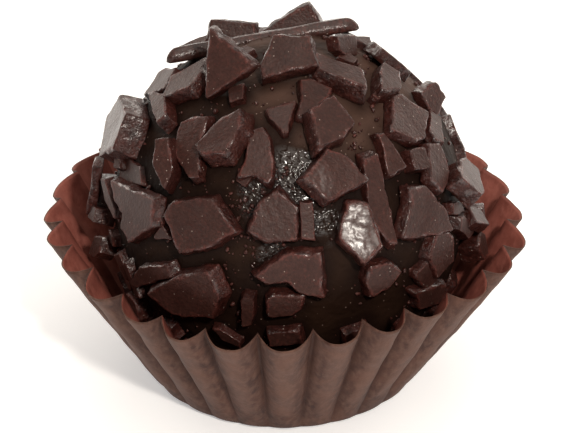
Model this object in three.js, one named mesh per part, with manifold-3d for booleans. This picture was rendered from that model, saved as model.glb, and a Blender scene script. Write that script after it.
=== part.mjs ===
// A brigadeiro: a ball of chocolate fudge rolled in chocolate shards, in its pleated paper case.
// Millimetres, +Z up. The origin is the middle of the case's base, and the front is -Y.
// A place on the ball is given by a bearing, in degrees from -Y towards +X, and by a height,
// in degrees above the ball's equator.

import * as THREE from "three";
import { mergeVertices } from "three/addons/utils/BufferGeometryUtils.js";
import Module from "manifold-3d";

// Driving dimensions of the fudge ball.
const BALL_RADIUS = 16.5;
const BALL_CENTRE = new THREE.Vector3(0.5, 0, 16.6);
const BALL_DETAIL = 7;
const LUMP_HEIGHT = 0.22;
const LUMP_WAVES = [["x", 4.1, 1.3], ["y", 3.7, 0.4], ["z", 4.6, 2.1]];
const REST_GAP = 0.3;

// Driving dimensions of the shards.
const SHARD_BITE = 0.5;
const SHARD_TAPER = 0.93;
const SPREAD_COUNT = 235;
const SPREAD_SEED = 7333;
const SPREAD_CLEARANCE = 13;
const SPREAD_HIGHEST = 78;
const SPREAD_LOWEST = -47;
const SPREAD_LEAST_WIDTH = 0.5;
const SPREAD_WIDTH_RANGE = 0.45;
const SPREAD_LEAST_THICKNESS = 1;
const SPREAD_THICKNESS_RANGE = 0.6;
const FRONT_HALF_WIDTH = 98;
const FRONT_LOWEST = -19;

// Above the rim the spread shards are larger and stand freer than inside the case.
const FREE_FROM = 8;
const FREE_SHARD = { length: 3.2, growth: 4.2, lean: 22, lift: 0.25 };
const SHELTERED_SHARD = { length: 2.8, growth: 2.4, lean: 8, lift: 0.1 };
const STEEPEST_LEAN = 60;

// Driving dimensions of the paper case.
const CASE_BASE_RADIUS = 13.1;
const CASE_MEAN_RIM_RADIUS = 21.8;
const CASE_WALL_LENGTH = 18.1;
const CASE_PAPER = 0.3;
const CASE_SQUARENESS = 0.35;
const CASE_CORNERS = 4;
const CASE_CORNER_BEARING = -16.5;
const PLEATS = 28;
const PLEAT_STEPS = 6;
const PLEAT_ROUNDING = 0.62;
const PLEAT_SHARPNESS = 2.4;
const FOLD_DRIFT = 0.6;
const FOLD_WAVES = [[3, -0.8], [7, 0.6]];
const CASE_WALL_STATIONS = [0.05, 0.22, 0.55, 1];

const CHOCOLATE = { color: 0x3b2622, roughness: 0.55, metalness: 0 };
const BROWN_PAPER = { color: 0x6f5650, roughness: 0.85, metalness: 0 };

// The outlines that broken chocolate takes, each in a box one long and one wide.
const OUTLINES = {
  triangle: [[-0.5, -0.5], [0.5, -0.42], [-0.05, 0.5]],
  fang: [[-0.48, -0.5], [0.5, -0.5], [-0.1, 0.5], [-0.25, 0.45], [-0.5, -0.15]],
  slab: [[-0.37, -0.5], [0.1, -0.5], [0.5, -0.28], [0.27, 0.43], [-0.35, 0.5], [-0.5, 0.29]],
  shield: [[-0.5, 0], [-0.22, -0.5], [0.31, -0.26], [0.5, 0.26], [0.1, 0.5], [-0.48, 0.5]],
  house: [[-0.15, 0.5], [-0.5, -0.42], [0.13, -0.5], [0.5, -0.33], [0.5, 0.49]],
  kite: [[0.5, 0], [-0.02, 0.5], [-0.5, 0.08], [-0.32, -0.49], [0.37, -0.5]],
  halfmoon: [
    [-0.5, -0.5], [0, -0.36], [0.5, -0.45], [0.42, 0.4], [0.1, 0.5], [-0.21, 0.3], [-0.5, -0.19],
  ],
  slat: [[-0.5, -0.5], [0.5, -0.43], [0.5, 0.3], [-0.16, 0.5], [-0.5, -0.19]],
  fin: [
    [-0.5, 0.4], [-0.34, -0.02], [0.01, -0.5], [0.36, -0.5], [0.33, -0.13], [0.5, 0.45], [0.2, 0.5],
  ],
  boomerang: [
    [0.5, 0.01], [0.31, 0.2], [0.02, 0.16], [-0.15, 0.39], [-0.5, 0.5], [-0.45, -0.5], [0.03, -0.5],
  ],
  tile: [[-0.5, 0.48], [-0.43, -0.21], [-0.17, -0.47], [0.46, -0.5], [0.5, 0.26], [0.37, 0.5]],
  trapeze: [[-0.5, -0.5], [0.5, -0.3], [0.35, 0.5], [-0.45, 0.4]],
  stub: [[-0.5, -0.45], [0.5, -0.5], [0.48, 0.5], [-0.47, 0.47]],
};

// The shards that show from the front, one row each: outline, bearing, height, turn in its own
// plane, length, width (negative turns the outline over), thickness, lift above its seat, and,
// where a shard leans, the bearing and height that its broad face looks to.
const PLACED_SHARDS = [
  // The crown: a long bar across the back, a triangle and a block standing against it.
  ["stub", -151, 70, 168.5, 19, 3.8, 1.4, -0.65, -158, 63],
  ["triangle", -45, 68, 276, 7.2, 5.6, 1.2, 0.2, -28, 25],
  ["slat", -3, 78, 16, 5.5, 4.4, 1.6, 0.25, -8, 48],
  ["trapeze", 45, 68, 16, 3, 6.2, 1.9, 0.3, 60, 72],
  ["house", -78, 57, 328, 4.5, -4.3, 1.4, 0.3],
  ["stub", 180, 63, 30, 7.6, 4.6, 1.3, -3.8, 0, 22],
  ["stub", -141, 61, 267, 2.3, 5.1, 1.4, -0.7, -3, 28],
  ["slat", -126, 51, 321, 1.3, -3.6, 1, 0.3, -60, 60],
  ["tile", 88, 74, 339, 3.9, 2.1, 1.2, 0.2, 62, 18],
  ["slat", 76, 71, 276, 1.8, 1.5, 1, 0.3, 60, 75],
  ["stub", -25, 77, 40, 1.5, 1.2, 1, 0.3],
  ["trapeze", -80, 77, 108, 1.4, 2, 1, 0.3],
  ["trapeze", 30, 71, 84, 1.8, -1.4, 1.1, 0.3],
  ["trapeze", 37, 68, 243, 1.6, -1.1, 1, 0.3],
  ["stub", 38, 80, 10, 1.5, 1.3, 1.1, 0.2],
  // Above the middle.
  ["stub", -37, 63, 128, 2.1, 1.7, 1, 0.2],
  ["fang", -1, 57, 20, 3.3, -3.2, 1.1, 0.3],
  ["fin", 16, 63, 156, 3.5, -4.6, 1.2, 0.2],
  ["house", 17, 53, 10, 5.2, 4.2, 1.9, 0.2, 36, 52],
  ["shield", -26, 48, 76, 6.2, 3.6, 2.2, 0.3, -46, 50],
  ["halfmoon", -44, 42, 112, 6.4, 3.9, 1.1, 0.25],
  ["halfmoon", -12, 45, 176, 3.3, -5.8, 1.2, 0.1],
  ["fin", 43, 40, 172, 2.6, 4.4, 1.3, 0.2],
  ["tile", 62, 45, 32, 5.1, 4.7, 1.2, 0.3],
  // The left side.
  ["kite", -86, 28, 184, 7.2, 6.2, 2.5, 0.2, -81, 26],
  ["trapeze", -79, 22, 117, 1.6, 1.4, 1, 0.3, -60, 30],
  ["slat", -73, 46, 351, 5.3, 2, 1.6, 0.2],
  ["slab", -96, 47, 40, 5.6, 3.8, 1.2, 0.2],
  ["kite", -48, 34, 200, 2.3, 5.4, 2, 0.3, -28, 38],
  ["boomerang", -58, 14, 284, 5.6, -8.8, 1.2, 0.3],
  ["stub", -92, 4, 20, 3.6, 3, 2, 0.2],
  ["slat", -88, 8, 82, 6.4, 2.6, 0.9, 1.9, -93, 10],
  ["kite", -76, 11, 325, 5, -1.8, 1, 0.3, -64, 5],
  ["slab", -71, 23, 16, 7, 2.3, 0.9, -0.3],
  // The middle.
  ["house", 17, 37, 124, 5.2, 5, 1.5, 0.25, 25, 45],
  ["slat", 31, 28, 88, 9.2, 2.5, 1.1, 0.25],
  ["kite", 21, 21, 104, 6.5, 4, 1.6, 0.25, 8, 35],
  ["fin", 49, 19, 160, 8, 5.1, 1.3, 0.3],
  ["slab", -29, 22, 24, 7.6, 5.2, 1.4, 0.25],
  ["triangle", -43, 15, 16, 2.6, 1.7, 1, 0.2],
  ["shield", -3, 27, 68, 5.3, 4.8, 1.4, 0.25],
  ["stub", 6, 26, 0, 1.4, 3.9, 1, 0.1],
  ["boomerang", 0, 10, 180, 6.9, 4.8, 1.3, 0.3],
  ["house", -18, 38, 336, 1.8, -1.3, 0.9, 0],
  // The right side.
  ["house", 88, 43, 296, 3.8, 3, 1.1, 0.2, 52, 20],
  ["house", 75, 36, 104, 2.3, -4, 1.1, 0.3, 75, 45],
  ["slat", 98, 24, 66, 3.2, 1.8, 1.1, 0.2, 95, 20],
  ["kite", 63, 28, 48, 5.3, -3.9, 1.2, 0.3],
  ["tile", 72, 19, 282, 3.8, -4.7, 1.9, 0.2, 85, 42],
  ["slat", 97, 59, 5, 4.1, 4, 1.2, 0.2, 118, 44],
  ["house", 69, 57, 20, 4.9, -2.5, 1.8, 0.3],
  ["stub", 62, 57, 0, 2.9, -0.9, 1.2, 0.2],
  ["stub", 55, 34, 340, 2.6, 2.3, 1.4, 0.1],
  ["stub", 75, 4, 226, 2.1, -3.1, 1.4, 0.3, 85, 42],
  ["slab", 69, 4, 232, 2, -5.4, 1.4, 0.3],
  ["house", 67, 12, 159, 3.2, -1.3, 1.1, 0.3],
  ["trapeze", 72, 6, 69, 1.3, 3.3, 1.1, 0.3],
  ["tile", 97, 12, 40, 4.6, 3.8, 1.2, 0.1],
  // Low down, partly inside the case.
  ["tile", -1, 0, 180, 3.8, -2.6, 1.3, 0.3],
  ["slat", -47, -1, 33, 7.6, 2, 1.2, 0.2],
  ["shield", -32, -3, 296, 5.1, 9.4, 1.4, 0.3],
  ["shield", 29, 6, 104, 3.5, 4.1, 1.4, 0.2],
  ["house", 48, -10, 344, 6.3, -2.7, 1.2, 0.3],
  ["kite", 53, 5, 8, 4.8, 5.3, 1.4, 0.1],
  ["slab", 47, -2, 304, 4.2, -2.4, 1.2, 0.1],
  ["tile", -12, -3, 92, 3.7, 1.4, 1.4, 0.2],
  ["stub", -1, -13, 8, 3.5, 2, 1.2, 0.2],
  ["kite", -20, -16, 322, 3.5, -1.3, 1, 0.2],
  ["trapeze", 22, -15, 10, 3.2, 1.8, 1.2, 0.1],
  ["trapeze", 82, -4, 336, 3.8, -1.8, 1.2, 0.2],
  ["kite", 80, -9, 60, 3.2, 2.6, 2.2, 0.3, 72, 22],
  ["stub", 84, -1, 70, 2.6, 2.2, 2.2, 0.2, 86, 10],
  ["slat", -75, -3, 15, 2.6, 1.6, 1.1, 0.2],
  ["stub", -84, 0, 20, 2.4, 1.6, 2, 0.3, -75, 20],
  ["house", -80, -9, 30, 3, 2.2, 1.8, 0.3, -70, 22],
  ["trapeze", -64, -7, 312, 3.1, 1.4, 1, 0.2, -50, 0],
  ["slat", -58, -19, 295, 3, 1.6, 1.6, 0.2, -50, 0],
  ["slab", -66, -12, 140, 3.6, 2.2, 1.1, 0.1],
  ["stub", -58, -9, 120, 4, 1.2, 1.1, 0.3],
];

const wasm = await Module();
wasm.setup();

const radians = THREE.MathUtils.degToRad;

const MERGE_DISTANCE = 1e-4;
const DRAW_FACTOR = 1664525;
const DRAW_STEP = 1013904223;
const DRAW_RANGE = 2 ** 32;
const DRAWS_PER_SHARD = 8;
const GOLDEN_ANGLE = 180 * (3 - Math.sqrt(5));

// The unit vector from the ball's centre towards a bearing and a height.
function towards(bearing, height) {
  const b = radians(bearing);
  const h = radians(height);
  return new THREE.Vector3(Math.sin(b) * Math.cos(h), -Math.cos(b) * Math.cos(h), Math.sin(h));
}

// A closed geometry, reduced to merged positions, as a solid that can be joined and cut.
function toSolid(geometry) {
  const bare = geometry.clone();
  bare.deleteAttribute("normal");
  bare.deleteAttribute("uv");
  const merged = mergeVertices(bare, MERGE_DISTANCE);
  return new wasm.Manifold(new wasm.Mesh({
    numProp: 3,
    vertProperties: new Float32Array(merged.attributes.position.array),
    triVerts: new Uint32Array(merged.index.array),
  }));
}

// The largest body of a solid as a geometry, so that loose scraps and sealed hollows drop out.
function toGeometry(solid) {
  const bodies = solid.decompose();
  bodies.sort((a, b) => b.volume() - a.volume());
  const mesh = bodies[0].getMesh();
  const geometry = new THREE.BufferGeometry();
  geometry.setAttribute("position", new THREE.BufferAttribute(mesh.vertProperties, 3));
  geometry.setIndex(new THREE.BufferAttribute(mesh.triVerts, 1));
  geometry.computeVertexNormals();
  return geometry;
}

// The same row of numbers from 0 to 1 each time for one seed.
function seededDraw(seed) {
  let state = seed;
  return () => {
    state = (Math.imul(state, DRAW_FACTOR) + DRAW_STEP) >>> 0;
    return state / DRAW_RANGE;
  };
}

// The hand-rolled ball of fudge: a sphere with low, soft lumps.
function fudgeBall() {
  const geometry = new THREE.IcosahedronGeometry(1, BALL_DETAIL);
  const place = geometry.attributes.position;
  const p = new THREE.Vector3();
  for (let i = 0; i < place.count; i++) {
    p.fromBufferAttribute(place, i).normalize();
    const lump = LUMP_WAVES.reduce(
      (rise, [axis, pace, shift]) => rise * Math.sin(pace * p[axis] + shift),
      1,
    );
    p.multiplyScalar(BALL_RADIUS + LUMP_HEIGHT * lump).add(BALL_CENTRE);
    place.setXYZ(i, p.x, p.y, p.z);
  }
  return toSolid(geometry);
}

// One shard: a flat piece of its outline, its edges leaning in a little towards the outer face,
// pressed into the ball until the deepest corner of its underside is one bite deep.
function shardSolid([outline, bearing, height, turn, length, width, thickness, lift, ...faces]) {
  const corners = OUTLINES[outline].map(([x, y]) => new THREE.Vector2(x * length, y * width));
  const geometry = new THREE.ExtrudeGeometry(new THREE.Shape(corners), {
    depth: thickness,
    bevelEnabled: false,
  });
  geometry.translate(0, 0, -thickness / 2);
  const place = geometry.attributes.position;
  for (let i = 0; i < place.count; i++) {
    if (place.getZ(i) > 0) {
      place.setXY(i, place.getX(i) * SHARD_TAPER, place.getY(i) * SHARD_TAPER);
    }
  }

  const out = towards(bearing, height);
  const [facesBearing, facesHeight] = faces.length ? faces : [bearing, height];
  const normal = towards(facesBearing, facesHeight);
  const east = towards(facesBearing + 90, 0);
  const north = new THREE.Vector3().crossVectors(normal, east);
  const along = east.multiplyScalar(Math.cos(radians(turn)))
    .addScaledVector(north, Math.sin(radians(turn)));
  const across = new THREE.Vector3().crossVectors(normal, along);

  const underside = corners.map(c => along.clone().multiplyScalar(c.x).addScaledVector(across, c.y));
  underside.push(new THREE.Vector3());
  const reach = BALL_RADIUS - SHARD_BITE;
  const seats = underside.map((corner) => {
    corner.addScaledVector(normal, -thickness / 2);
    const rise = corner.dot(out);
    return Math.sqrt(reach * reach - corner.lengthSq() + rise * rise) - rise;
  });
  const centre = BALL_CENTRE.clone().addScaledVector(out, Math.max(...seats) + lift);
  geometry.applyMatrix4(new THREE.Matrix4().makeBasis(along, across, normal).setPosition(centre));
  return toSolid(geometry);
}

// The rest of the coat, spread evenly over the back and the underside along a golden spiral,
// clear of the placed shards. Below the rim the pieces lie flat, to stay off the paper.
function spreadShards() {
  const draw = seededDraw(SPREAD_SEED);
  const names = Object.keys(OUTLINES);
  const placed = PLACED_SHARDS.map(([, bearing, height]) => towards(bearing, height));
  const rows = [];
  for (let k = 0; k < SPREAD_COUNT; k++) {
    const height = THREE.MathUtils.radToDeg(Math.asin(1 - (2 * k + 1) / SPREAD_COUNT));
    const bearing = ((k * GOLDEN_ANGLE + 180) % 360) - 180;
    const draws = Array.from({ length: DRAWS_PER_SHARD }, draw);
    const [pick, turn, size, shape, thick, rise, leanEast, leanNorth] = draws;
    const inFront = Math.abs(bearing) < FRONT_HALF_WIDTH && height > FRONT_LOWEST;
    const inReach = height > SPREAD_LOWEST && height < SPREAD_HIGHEST;
    const spot = towards(bearing, height);
    const crowded = placed.some(p => p.angleTo(spot) < radians(SPREAD_CLEARANCE));
    if (inFront || !inReach || crowded) {
      continue;
    }
    const kind = height > FREE_FROM ? FREE_SHARD : SHELTERED_SHARD;
    const length = kind.length + kind.growth * size * size;
    const narrowing = Math.cos(radians(Math.min(height, STEEPEST_LEAN)));
    rows.push([
      names[Math.floor(pick * names.length)],
      bearing,
      height,
      360 * turn,
      length,
      length * (SPREAD_LEAST_WIDTH + SPREAD_WIDTH_RANGE * shape),
      SPREAD_LEAST_THICKNESS + SPREAD_THICKNESS_RANGE * thick * thick,
      kind.lift * rise,
      bearing + kind.lean * (leanEast - 0.5) / narrowing,
      height + kind.lean * (leanNorth - 0.5),
    ]);
  }
  return rows;
}

// The fudge ball with its coat, and a small flat where it sits on the case's floor.
function coatedBall() {
  let ball = fudgeBall();
  for (const row of [...PLACED_SHARDS, ...spreadShards()]) {
    ball = ball.add(shardSolid(row));
  }
  const below = new THREE.BoxGeometry(4 * BALL_RADIUS, 4 * BALL_RADIUS, 2 * BALL_RADIUS);
  below.translate(0, 0, CASE_PAPER + REST_GAP - BALL_RADIUS);
  return toGeometry(ball.subtract(toSolid(below)));
}

// How far, in degrees, a fold stands from its place in an even row of pleats.
function foldDrift(bearing) {
  return FOLD_WAVES.reduce((sum, [waves, size]) => sum + size * Math.sin(waves * bearing), FOLD_DRIFT);
}

// How far out a pleat stands at a bearing of the even row: 1 on an outer fold, -1 in an inner
// fold. The outer folds are broad and round, the inner folds narrow.
function pleatWave(bearing) {
  const turns = (bearing * PLEATS) / (2 * Math.PI);
  const away = Math.abs(turns - Math.round(turns));
  return 1 - 2 * Math.pow(2 * away, PLEAT_SHARPNESS);
}

// The depth of the pleats part of the way up the wall. The paper was cut as a flat disc, so the
// pleats take up what its circle has in excess of the wall's own.
function pleatDepth(part) {
  const paperRadius = CASE_BASE_RADIUS + CASE_WALL_LENGTH * part;
  const wallRadius = CASE_BASE_RADIUS + (CASE_MEAN_RIM_RADIUS - CASE_BASE_RADIUS) * part;
  const excess = paperRadius / wallRadius;
  const halfPitch = (Math.PI * wallRadius) / PLEATS;
  return PLEAT_ROUNDING * halfPitch * Math.sqrt(excess * excess - 1);
}

// The radius and the height of the wall part of the way up it. Every line up the wall is as long
// as every other, so the outer folds, which lean out further, end lower than the inner folds.
function wallPoint(evenBearing, part) {
  const corners = Math.cos(CASE_CORNERS * (evenBearing - radians(CASE_CORNER_BEARING)));
  const spread = CASE_MEAN_RIM_RADIUS - CASE_BASE_RADIUS + CASE_SQUARENESS * corners;
  const reach = spread * part + 0.5 * pleatDepth(part) * pleatWave(evenBearing);
  return [CASE_BASE_RADIUS + reach, Math.sqrt((CASE_WALL_LENGTH * part) ** 2 - reach ** 2)];
}

// The paper case: one sheet, turned about the axis with its pleats pressed in.
function paperCase() {
  const half = CASE_PAPER / 2;
  const skins = [
    ...CASE_WALL_STATIONS.map(part => [part, half]),
    ...CASE_WALL_STATIONS.map(part => [part, -half]).reverse(),
  ];
  const base = CASE_BASE_RADIUS - half;
  const profile = [[0, 0], [base, 0], ...skins.map(([part]) => [base, part]), [0, CASE_PAPER]];
  const geometry = new THREE.LatheGeometry(
    profile.map(([r, z]) => new THREE.Vector2(r, z)),
    PLEATS * PLEAT_STEPS,
  );
  const place = geometry.attributes.position;
  const innerFoot = 1 + skins.length;
  for (let i = 0; i < place.count; i++) {
    const ring = i % profile.length;
    let [radius, height] = profile[ring];
    const evenBearing = Math.atan2(place.getX(i), place.getZ(i));
    if (ring > 1 && ring <= innerFoot) {
      const [part, offset] = skins[ring - 2];
      const [wallRadius, wallHeight] = wallPoint(evenBearing, part);
      radius = wallRadius + offset;
      height = ring === innerFoot ? CASE_PAPER : wallHeight;
    }
    const bearing = evenBearing + radians(foldDrift(evenBearing));
    place.setXYZ(i, radius * Math.sin(bearing), -radius * Math.cos(bearing), height);
  }
  return toGeometry(toSolid(geometry));
}

function piece(name, geometry, look) {
  const mesh = new THREE.Mesh(geometry, new THREE.MeshStandardMaterial(look));
  mesh.name = name;
  return mesh;
}

const brigadeiro = new THREE.Group();
brigadeiro.add(piece("paper_case", paperCase(), BROWN_PAPER));
brigadeiro.add(piece("ball", coatedBall(), CHOCOLATE));

export default brigadeiro;
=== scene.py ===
# %% [markdown]
# # A brigadeiro in its paper case
# A brigadeiro is a spoonful of chocolate fudge, rolled into a ball between the palms, turned in
# broken chocolate and set in a pleated paper case. Everything below is made at its true size.
# The sweet is measured in millimetres, and each finished mesh is written in metres.

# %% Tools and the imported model
import math

import bmesh
import bpy
import numpy as np
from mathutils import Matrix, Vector
from mathutils.kdtree import KDTree


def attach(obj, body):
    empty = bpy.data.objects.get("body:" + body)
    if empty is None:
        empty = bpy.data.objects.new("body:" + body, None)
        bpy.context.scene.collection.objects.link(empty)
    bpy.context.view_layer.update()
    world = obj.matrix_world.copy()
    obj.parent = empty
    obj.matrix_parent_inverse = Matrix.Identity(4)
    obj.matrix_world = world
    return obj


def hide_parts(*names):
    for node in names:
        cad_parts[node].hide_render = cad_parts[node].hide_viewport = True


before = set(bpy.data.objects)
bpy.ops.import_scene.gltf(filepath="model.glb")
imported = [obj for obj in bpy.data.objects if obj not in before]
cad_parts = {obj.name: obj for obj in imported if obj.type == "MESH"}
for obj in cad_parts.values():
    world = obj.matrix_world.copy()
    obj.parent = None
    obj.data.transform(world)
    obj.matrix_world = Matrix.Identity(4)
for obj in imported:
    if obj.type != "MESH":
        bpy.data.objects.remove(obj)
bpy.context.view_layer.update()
MM = 0.001


# %% [markdown]
# ## Places on the ball
# A place on a round sweet is easiest to give as on a globe: a bearing, counted from the front
# towards the right, and a height above the ball's equator. One short function turns the two
# angles into a direction, and the shards, the lamps and the camera all use it.

# %% Directions
def towards(bearing, height):
    b, h = math.radians(bearing), math.radians(height)
    return Vector((math.sin(b) * math.cos(h), -math.cos(b) * math.cos(h), math.sin(h)))


BALL_RADIUS = 16.5
BALL_CENTRE = Vector((0.5, 0.0, 16.6))
print("front of the ball:", tuple(round(v, 1) for v in BALL_CENTRE + towards(0, 0) * BALL_RADIUS))

# %% [markdown]
# ## The camera
# A long lens from a hand's span away shows a small sweet without bending its shape. It looks
# down on it from about 31 degrees, so that both the coat and the pleats are seen.

# %% Camera
CAMERA_HEIGHT = 31.06
CAMERA_DISTANCE = 220.0
CAMERA_AIM = Vector((0.474, -0.127, 15.388))
LENS = 144.34
SENSOR_WIDTH = 36.0

camera = bpy.data.objects.new("camera", bpy.data.cameras.new("camera"))
camera.data.lens = LENS
camera.data.sensor_width = SENSOR_WIDTH
camera.data.clip_start = 0.01
camera.location = (CAMERA_AIM + towards(0, CAMERA_HEIGHT) * CAMERA_DISTANCE) * MM
camera.rotation_mode = "QUATERNION"
camera.rotation_quaternion = (-towards(0, CAMERA_HEIGHT)).to_track_quat("-Z", "Y")
bpy.context.scene.collection.objects.link(camera)
bpy.context.scene.camera = camera
print("camera at", [round(v, 3) for v in camera.location])

# %% [markdown]
# ## The light
# Chocolate is dark and a little shiny, so most of what the eye reads is reflections. Broad pale
# panels at the sides and the back give the soft grey sheen on faces that turn away, and a large
# one overhead lights the upper faces evenly. A small lamp in front on the right gives the
# sparkle on wet fudge and along broken edges. The room itself adds only a faint warm glow.

# %% Lamps
WARM_WHITE = (1.0, 0.93, 0.845)
ROOM_COLOUR = (1.0, 0.95, 0.9, 1)
ROOM_STRENGTH = 0.1

# Each lamp: bearing and height as seen from the ball, distance and size in millimetres, watts.
LAMPS = {
    "sparkle_lamp": (16, 39, 260, 18, 0.42),
    "left_panel": (-134, 16, 340, 220, 0.54),
    "right_panel": (134, 16, 340, 220, 0.5),
    "back_panel": (180, 28, 340, 200, 0.35),
    "top_panel": (4, 80, 400, 420, 0.8),
}


def lamp(name, bearing, height, distance, size, power):
    light = bpy.data.lights.new(name, "AREA")
    light.shape = "SQUARE"
    light.size = size * MM
    light.energy = power
    light.color = WARM_WHITE
    body = bpy.data.objects.new(name, light)
    body.location = (BALL_CENTRE + towards(bearing, height) * distance) * MM
    body.rotation_mode = "QUATERNION"
    body.rotation_quaternion = towards(bearing, height).to_track_quat("Z", "Y")
    body.visible_camera = False
    bpy.context.scene.collection.objects.link(body)


for name, values in LAMPS.items():
    lamp(name, *values)

room = bpy.data.worlds.new("room")
room.use_nodes = True
room.node_tree.nodes["Background"].inputs["Color"].default_value = ROOM_COLOUR
room.node_tree.nodes["Background"].inputs["Strength"].default_value = ROOM_STRENGTH
bpy.context.scene.world = room
bpy.context.scene.view_settings.view_transform = "Standard"
print(len(LAMPS), "lamps")

# %% [markdown]
# ## From arrays to a piece
# Every piece of this sweet is computed as rows of points and faces. One helper lists the faces
# between a stack of rings, round a first point in the middle and, for a closed piece, up to a
# last one. Another turns points and faces into a mesh, gives it its finishes and smooth shading,
# and hides the part of the imported model that it stands for. A third stores one number at each
# point of a piece, such as how wet it is there, which its finish can read.

# %% Helpers for pieces
def ring_faces(ring_count, columns, closed):
    faces = [(0, 1 + (c + 1) % columns, 1 + c) for c in range(columns)]
    for r in range(ring_count - 1):
        low = 1 + r * columns
        for c in range(columns):
            d = (c + 1) % columns
            faces.append((low + c, low + d, low + columns + d, low + columns + c))
    if closed:
        top, last = 1 + ring_count * columns, 1 + (ring_count - 1) * columns
        faces += [(top, last + c, last + (c + 1) % columns) for c in range(columns)]
    return faces


def make_piece(name, points, faces, finishes, node):
    mesh = bpy.data.meshes.new(name)
    mesh.from_pydata((np.asarray(points) * MM).tolist(), [], faces)
    for finish in finishes:
        mesh.materials.append(finish)
    mesh.shade_smooth()
    piece = bpy.data.objects.new(name, mesh)
    bpy.context.scene.collection.objects.link(piece)
    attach(piece, "root")
    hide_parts(node)
    print(name, len(points), "points,", len(faces), "faces")
    return piece


def store(piece, key, values):
    piece.data.attributes.new(key, "FLOAT", "POINT").data.foreach_set("value", values)


print("faces of a small cone:", ring_faces(1, 4, False))

# %% [markdown]
# ## Uneven surfaces
# Paper, fudge and broken chocolate are never quite even. Adding a few sine waves that run in
# scattered directions gives a smooth unevenness that is the same on each run, works on a whole
# array of points at once, and can be as coarse or as fine as wanted.

# %% A smooth unevenness
def unevenness(points, wavelength, seed, waves=7):
    draw = np.random.default_rng(seed)
    total = np.zeros(len(points))
    for _ in range(waves):
        direction = draw.normal(size=3)
        direction *= 2 * math.pi / wavelength * draw.uniform(0.7, 1.4) / np.linalg.norm(direction)
        total += np.sin(points @ direction + draw.uniform(0, 2 * math.pi))
    return total / math.sqrt(waves / 2) / 2


sample = unevenness(np.random.default_rng(1).uniform(-20, 20, (4000, 3)), 3.0, 5)
print("unevenness spreads by", round(float(sample.std()), 2))
print("and stays within", round(float(abs(sample).max()), 2))

# %% [markdown]
# ## Building finishes from nodes
# A finish is a small network of nodes around one Principled shader. The helpers below make the
# nodes that the finishes share: cloudy noise, a remapped value, a sum or product, and a blend of
# two colours. All noise is read from the piece's own coordinates, so it stays with the piece.

# %% Helpers for noise and colour
def new_finish(name):
    finish = bpy.data.materials.new(name)
    finish.use_nodes = True
    tree = finish.node_tree
    return finish, tree, tree.nodes["Principled BSDF"]


def cloud(tree, size, detail=3.0, roughness=0.5, stretch=(1, 1, 1)):
    place = tree.nodes.new("ShaderNodeTexCoord")
    scale = tree.nodes.new("ShaderNodeMapping")
    scale.inputs["Scale"].default_value = stretch
    noise = tree.nodes.new("ShaderNodeTexNoise")
    noise.inputs["Scale"].default_value = 1 / (size * MM)
    noise.inputs["Detail"].default_value = detail
    noise.inputs["Roughness"].default_value = roughness
    tree.links.new(place.outputs["Object"], scale.inputs["Vector"])
    tree.links.new(scale.outputs["Vector"], noise.inputs["Vector"])
    return noise.outputs["Fac"]


def remap(tree, value, low, high, to_low=0.0, to_high=1.0):
    node = tree.nodes.new("ShaderNodeMapRange")
    node.inputs["From Min"].default_value = low
    node.inputs["From Max"].default_value = high
    node.inputs["To Min"].default_value = to_low
    node.inputs["To Max"].default_value = to_high
    tree.links.new(value, node.inputs["Value"])
    return node.outputs["Result"]


def calculate(tree, operation, a, b):
    node = tree.nodes.new("ShaderNodeMath")
    node.operation = operation
    for socket, value in zip(node.inputs, (a, b)):
        if isinstance(value, (int, float)):
            socket.default_value = value
        else:
            tree.links.new(value, socket)
    return node.outputs["Value"]


def blend(tree, share, a, b, way="MIX"):
    node = tree.nodes.new("ShaderNodeMix")
    node.data_type = "RGBA"
    node.blend_type = way
    for key, value in (("Factor", share), ("A", a), ("B", b)):
        socket = next(s for s in node.inputs if s.name == key and s.enabled)
        if isinstance(value, (int, float, tuple)):
            socket.default_value = value
        else:
            tree.links.new(value, socket)
    return next(s for s in node.outputs if s.enabled)


print("helpers for noise and colour ready")

# %% [markdown]
# Three more helpers deal with the surface. A bump makes light fall as if the surface rose and
# sank, for relief finer than the mesh. A stored number brings in what was kept at each point of
# a piece. Sparkles are small specks, one in each cell of a scatter, in some of the cells only.

# %% Helpers for the surface
def bump(tree, height, depth, under=None):
    node = tree.nodes.new("ShaderNodeBump")
    node.inputs["Strength"].default_value = 1.0
    node.inputs["Distance"].default_value = depth * MM
    tree.links.new(height, node.inputs["Height"])
    if under is not None:
        tree.links.new(under, node.inputs["Normal"])
    return node.outputs["Normal"]


def stored(tree, name):
    node = tree.nodes.new("ShaderNodeAttribute")
    node.attribute_name = name
    return node.outputs["Fac"]


def sparkles(tree, spacing, size, share):
    cells = tree.nodes.new("ShaderNodeTexVoronoi")
    cells.inputs["Scale"].default_value = 1 / (spacing * MM)
    place = tree.nodes.new("ShaderNodeTexCoord")
    pick = tree.nodes.new("ShaderNodeSeparateColor")
    tree.links.new(place.outputs["Object"], cells.inputs["Vector"])
    tree.links.new(cells.outputs["Color"], pick.inputs["Color"])
    dot = remap(tree, cells.outputs["Distance"], size / spacing, 0.6 * size / spacing)
    chosen = calculate(tree, "LESS_THAN", pick.outputs["Red"], share)
    return calculate(tree, "MULTIPLY", dot, chosen)


print("helpers for the surface ready")

# %% [markdown]
# ## The paper case
# The case is pressed from one flat disc of greaseproof paper. Its wall can only rise when the
# spare length of the disc's edge is taken up in pleats, so the pleats start from nothing at the
# foot and are deepest at the rim. Their depth follows from that rule: at each height the pleated
# line must be as long as the circle it was cut from.

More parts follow.
